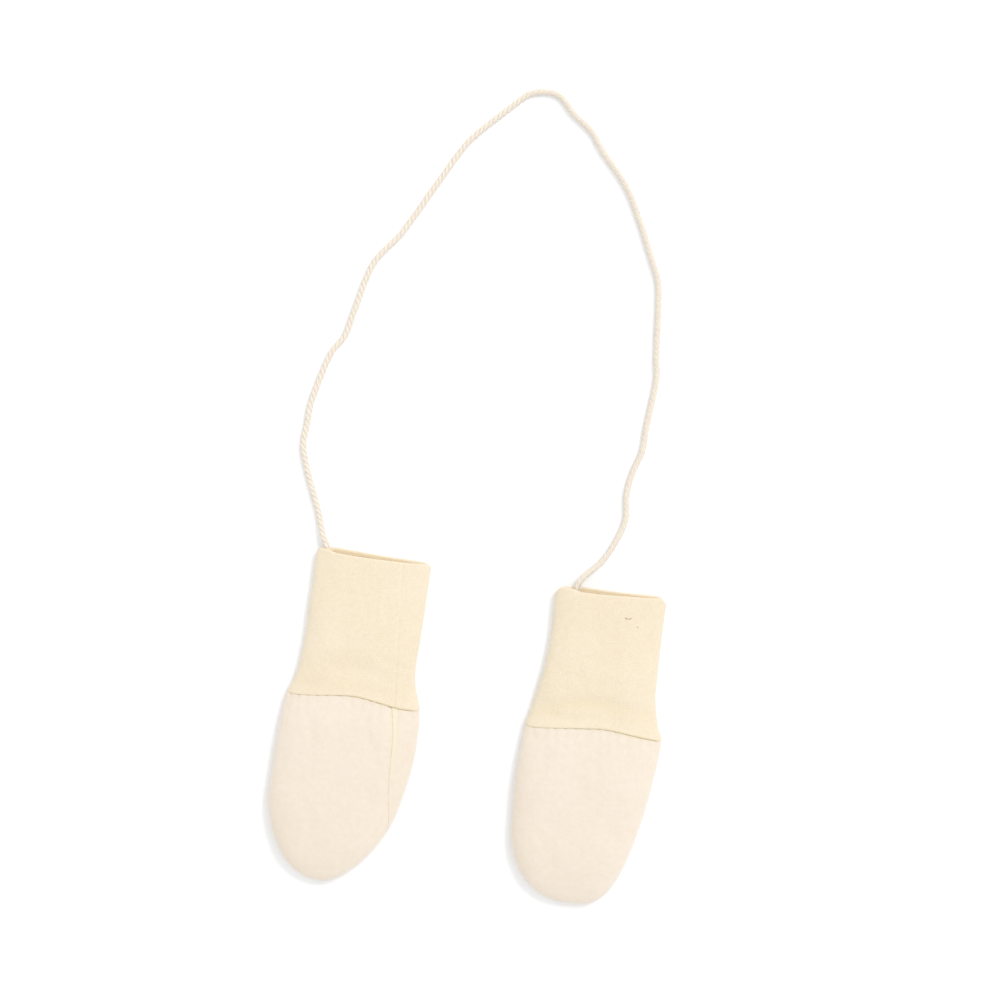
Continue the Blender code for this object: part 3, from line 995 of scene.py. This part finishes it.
# a rib tube folded double at the wrist: out along the outer layer, round the fold, and back inside
def cuffPanel(name, mitten, shape, material):
    outer, inner = (cuffGrid(mitten, inset, shape) for inset in (0.0, cloth["ribWall"]))
    toSeam = np.linalg.norm(np.diff(outer, axis=0), axis=-1)[::-1].cumsum(axis=0)[::-1]
    toSeam = np.concatenate((toSeam, np.zeros((1, outer.shape[1]))), axis=0)
    isTop = outer[..., 2] > cloth["edgeRise"]
    show = smoothAt(mitten["seamShow"], seamShare(mitten, outer[..., 0]))
    roll = rolledEdge(toSeam, shape["cuffRoll"] * upFrom(cloth["leastRoll"], show))
    rib, ribbing, hollows = cuffRibs(mitten, shape, outer)
    form = clothForm(mitten, shape, outer, np.clip(toSeam / shape["calmSewn"], 0, 1), 1.0)
    form = form - ownSeam(mitten, shape, outer, toSeam) * isTop
    outerFace = outer + gridNormals(outer, ring=True) * (form - roll + ribbing)[..., None]
    outerFace[..., 2] = np.maximum(outerFace[..., 2], cloth["offTable"])
    form = form * shape["innerFollows"]
    innerFace = inner + gridNormals(inner, ring=True) * (form - ribbing)[..., None]

    bend = cuffFold(outerFace[0], innerFace[0], outer[0] - outer[1], shape["foldRows"])
    top = shape["foldRows"] // 2
    outside = np.concatenate((bend[top:0:-1], outerFace))
    inside = np.concatenate((bend[top:-1], innerFace))

    # what the materials read, carried round the fold from the first row
    def overFold(values):
        return np.concatenate((np.repeat(values[:1], top, axis=0), values))

    # painted shade along the seam with the hand and in the rib's hollows, and along the fold lines in
    # shades
    grooveShade = show * np.clip(1 - toSeam / shape["seamLine"], 0, 1) + hollows * shape["ribHollowShade"]
    shade = creaseDepth(outer, shape["shades"]) * isTop
    grooveShade, shade = overFold(grooveShade), overFold(shade)
    # where the inside's warmer colour is painted in as light, with a share of it round the fold
    hidden, insideLightened = np.zeros_like(grooveShade), np.ones_like(grooveShade)
    insideLightened[:top] = shape["foldInsideLight"]
    knit = np.stack((np.broadcast_to(rib, grooveShade.shape), overFold(toSeam[:1] - toSeam)), axis=-1)
    return clothMesh(
        name, material, placed(mitten, outside), placed(mitten, inside),
        {"paintedShade": (grooveShade, hidden), "foldShade": (shade, hidden), "inside": (hidden, insideLightened)},
        ring=True, folded=True, knit=knit)


cordPiece = {
    "diameter": 0.0027,
    "strands": 3,
    "lay": 8.1,                 # mm for one full turn of the strands
    "strandRound": 0.75,
    "strandOut": 0.59,
    "drift": (0.5, 31.0),       # how far and how slowly the lay wanders
    "uneven": (0.05, 2.3),      # the same for a strand's thickness
    "tints": (0.1, 0.95, 0.45),  # from pinkish to yellowish wool
    "tintDrift": (0.25, 5.3),
    "hollow": (0.6, 0.1),       # shade between the strands: its most, less what shows outside
    "endShade": 0.5,
    "step": 0.62,
    "sides": 9,
    "pathEvery": 4,
    # across, along the table and up, in metres, from inside the left cuff to inside the right one
    "route": (
        (-0.0644, 0.0707, 0.0033), (-0.0636, 0.0804, 0.0033), (-0.0651, 0.0853, 0.0027),
        (-0.0668, 0.0943, 0.0015), (-0.0695, 0.1047, 0.0014), (-0.0722, 0.1150, 0.0014),
        (-0.0740, 0.1258, 0.0014), (-0.0722, 0.1366, 0.0014), (-0.0699, 0.1474, 0.0014),
        (-0.0618, 0.1672, 0.0014), (-0.0551, 0.1758, 0.0014), (-0.0513, 0.1861, 0.0014),
        (-0.0434, 0.2064, 0.0014), (-0.0366, 0.2149, 0.0014), (-0.0290, 0.2226, 0.0014),
        (-0.0164, 0.2401, 0.0014), (-0.0038, 0.2577, 0.0014), (0.0034, 0.2658, 0.0014),
        (0.0205, 0.2793, 0.0014), (0.0295, 0.2851, 0.0014), (0.0408, 0.2842, 0.0014),
        (0.0484, 0.2752, 0.0014), (0.0561, 0.2676, 0.0014), (0.0615, 0.2581, 0.0014),
        (0.0732, 0.2397, 0.0014), (0.0835, 0.2091, 0.0014), (0.0862, 0.1987, 0.0014),
        (0.0862, 0.1879, 0.0014), (0.0853, 0.1663, 0.0014), (0.0853, 0.1555, 0.0014),
        (0.0808, 0.1344, 0.0014), (0.0790, 0.1236, 0.0014), (0.0745, 0.1137, 0.0014),
        (0.0718, 0.1033, 0.0014), (0.0714, 0.0925, 0.0014), (0.0669, 0.0826, 0.0014),
        (0.0606, 0.0736, 0.0015), (0.0525, 0.0669, 0.0027), (0.0491, 0.0610, 0.0033),
        (0.0489, 0.0524, 0.0033),
    ),
}


# a smooth curve through the points, in even steps of millimetres
def smoothRoute(points, step, between=16):
    fine = []
    points = [np.array(point) / mm for point in points]
    for i in range(len(points) - 1):
        before, start, end, after = (points[min(max(i + k, 0), len(points) - 1)] for k in (-1, 0, 1, 2))
        for t in np.arange(between) / between:
            fine.append(0.5 * (2 * start + (end - before) * t
                               + (2 * before - 5 * start + 4 * end - after) * t ** 2
                               + (3 * start - before - 3 * end + after) * t ** 3))
    fine = np.array([*fine, points[-1]])
    run = np.concatenate(([0.0], np.cumsum(np.linalg.norm(np.diff(fine, axis=0), axis=1))))
    wanted = np.linspace(0, run[-1], round(run[-1] / step) + 1)
    return np.stack([np.interp(wanted, run, fine[:, k]) for k in range(3)], axis=1), run[-1]


def twistedCord(material):
    made = cordPiece
    route, length = smoothRoute(made["route"], made["step"])
    tangent = unit(np.gradient(route, axis=0))
    side = unit(np.cross(tangent, (0.0, 0.0, 1.0)))
    up = np.cross(side, tangent)
    run = np.linspace(0, length, len(route))
    rings, sides, strands = len(route), made["sides"], made["strands"]
    points, faces, depth, spots, tints = [], [], [], [], []
    around = 2 * math.pi * np.arange(sides) / sides
    most, least = made["hollow"]
    hollow = np.maximum(least - most * np.cos(around), 0)
    for k in range(strands):
        change, slow = made["drift"]
        turn = 2 * math.pi * (run / made["lay"] + k / strands) + change * np.sin(run / slow)
        outward = side * np.cos(turn)[:, None] + up * np.sin(turn)[:, None]
        change, slow = made["uneven"]
        thick = made["strandRound"] * (1 + change * np.sin(run / slow + 2 * k))
        centre = route + outward * made["strandOut"]
        sideways = unit(np.cross(unit(np.gradient(centre, axis=0)), outward))
        change, slow = made["tintDrift"]
        tint = made["tints"][k] + change * np.sin(run / slow + k)
        base = len(points)
        for i in range(rings):
            out = outward[i] * np.cos(around)[:, None] + sideways[i] * np.sin(around)[:, None]
            points.extend(centre[i] + thick[i] * out)
            depth.extend(hollow)
            spots.extend((j / sides, run[i]) for j in range(sides))
            tints.extend([tint[i]] * sides)
        for i in range(rings - 1):
            a, b = base + i * sides, base + (i + 1) * sides
            for j in range(sides):
                n = (j + 1) % sides
                faces.append((a + j, a + n, b + n, b + j))
        for i, way in ((0, -1), (rings - 1, 1)):
            points.append(centre[i])
            depth.append(made["endShade"])
            spots.append((0.5, run[i]))
            tints.append(made["tints"][k])
            start = base + i * sides
            for j in range(sides):
                pair = (start + j, start + (j + 1) % sides)
                faces.append((len(points) - 1, *pair[::way]))
    mesh = bpy.data.meshes.new("joiningCord")
    mesh.from_pydata((np.array(points) * mm).tolist(), [], faces)
    mesh.update()
    # how much painted shade each point takes: on each strand's inner side and at its ends
    pointValues(mesh, "strandShade", depth)
    pointValues(mesh, "strandTint", tints)
    layMap(mesh, "strand", cornerSpots(mesh, spots))
    mesh.shade_smooth()
    print("cord twisted,", round(length, 1), "mm,", len(mesh.polygons), "faces")
    return finishedPiece("joiningCord", mesh, material), route[::made["pathEvery"]] * mm, length * mm


tackPiece = {
    "middle": (0.0723, 0.0480),
    "thread": 0.00013,
    "roundness": 1,
    "bends": 3,
    "weld": 0.000005,
    "sharpFrom": 60.0,          # degrees
    "sink": 1.2,                # mm round a point that its height is taken from
    # across and down the cloth from the tack's middle, and how far each point sinks in, mm
    "stitches": (
        ((-1.75, -0.55, 0.35), (-1.3, -0.62, -0.14), (-0.8, -0.45, -0.16),
         (-0.3, 0.0, -0.12), (0.05, 0.3, 0.35)),
        ((0.0, 0.3, 0.35), (0.35, 0.05, -0.12), (0.8, -0.35, -0.16),
         (1.25, -0.6, -0.14), (1.7, -0.35, 0.35)),
        ((3.95, 3.35, 0.35), (4.05, 3.45, -0.05), (4.2, 3.55, -0.12),
         (4.35, 3.6, -0.05), (4.5, 3.6, 0.35)),
    ),
}


# a small tack of dark thread, sewn through the right cuff
def sewnTack(cuff, material):
    made = tackPiece
    surface = np.empty(len(cuff.data.vertices) * 3)
    cuff.data.vertices.foreach_get("co", surface)
    surface = surface.reshape(-1, 3)
    bpy.ops.object.select_all(action="DESELECT")
    threads = []
    for stitch in made["stitches"]:
        bpy.ops.curve.primitive_nurbs_path_add()
        path = bpy.context.object
        path.data.bevel_depth = made["thread"]
        path.data.bevel_resolution = made["roundness"]
        path.data.use_fill_caps = True
        path.data.splines[0].resolution_u = made["bends"]
        for point, (across, down, deep) in zip(path.data.splines[0].points, stitch):
            x, y = made["middle"][0] + across * mm, made["middle"][1] - down * mm
            near = np.hypot(surface[:, 0] - x, surface[:, 1] - y) < made["sink"] * mm
            point.co = (x, y, surface[near, 2].max() - deep * mm, 1.0)
        bpy.ops.object.convert(target="MESH")
        threads.append(bpy.context.object)
    for thread in threads:
        thread.select_set(True)
    bpy.ops.object.join()
    tack = bpy.context.object
    tack.name = tack.data.name = "sewnTack"
    bpy.ops.object.mode_set(mode="EDIT")
    bpy.ops.mesh.select_all(action="SELECT")
    bpy.ops.mesh.remove_doubles(threshold=made["weld"])
    bpy.ops.mesh.normals_make_consistent(inside=False)
    bpy.ops.object.mode_set(mode="OBJECT")
    bpy.ops.object.shade_smooth_by_angle(angle=math.radians(made["sharpFrom"]))
    tack.data.materials.clear()
    tack.data.materials.append(material)
    print("tack sewn,", len(tack.data.polygons), "faces")
    return tack


setUpView()
groups = {"woolNap": napGroup(), "clothColourSeamShade": clothColourSeamShadeGroup(), "paintedEdgeSheen": paintedEdgeSheenGroup()}
fleece, rib = fleeceMaterial(groups), ribMaterial(groups)
yarn, thread = cordMaterial(groups), threadMaterial(groups)
print("materials: fleece, rib, cord and thread")
cord, cordPath, cordLength = twistedCord(yarn)
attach(cord, "root")
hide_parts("cord")

pieces = {
    "leftFront": handPanel("leftFront", leftMitten, "front", leftFrontPiece, fleece),
    "leftBack": handPanel("leftBack", leftMitten, "back", leftBackPiece, fleece),
    "rightFront": handPanel("rightFront", rightMitten, "front", rightFrontPiece, fleece),
    "rightBack": handPanel("rightBack", rightMitten, "back", rightBackPiece, fleece),
    "leftCuff": cuffPanel("leftCuff", leftMitten, leftCuffPiece, rib),
    "rightCuff": cuffPanel("rightCuff", rightMitten, rightCuffPiece, rib),
}
# each one's solid, finish, flat size and area in metres, and what it lies on
cuts = {
    "leftFront": ("left_front", "fleece", (0.070, 0.088), 0.0049, "leftBack"),
    "leftBack": ("left_back", "fleece", (0.082, 0.086), 0.0054, "floor"),
    "rightFront": ("right_front", "fleece", (0.074, 0.082), 0.0049, "rightBack"),
    "rightBack": ("right_back", "fleece", (0.070, 0.080), 0.0046, "floor"),
    "leftCuff": ("left_cuff", "rib", (0.112, 0.0655), 0.0072, "floor"),
    "rightCuff": ("right_cuff", "rib", (0.112, 0.0635), 0.0070, "floor"),
}
for name, (node, finish, *_) in cuts.items():
    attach(pieces[name], "root")
    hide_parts(node)
tack = sewnTack(pieces["rightCuff"], thread)
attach(tack, "root")
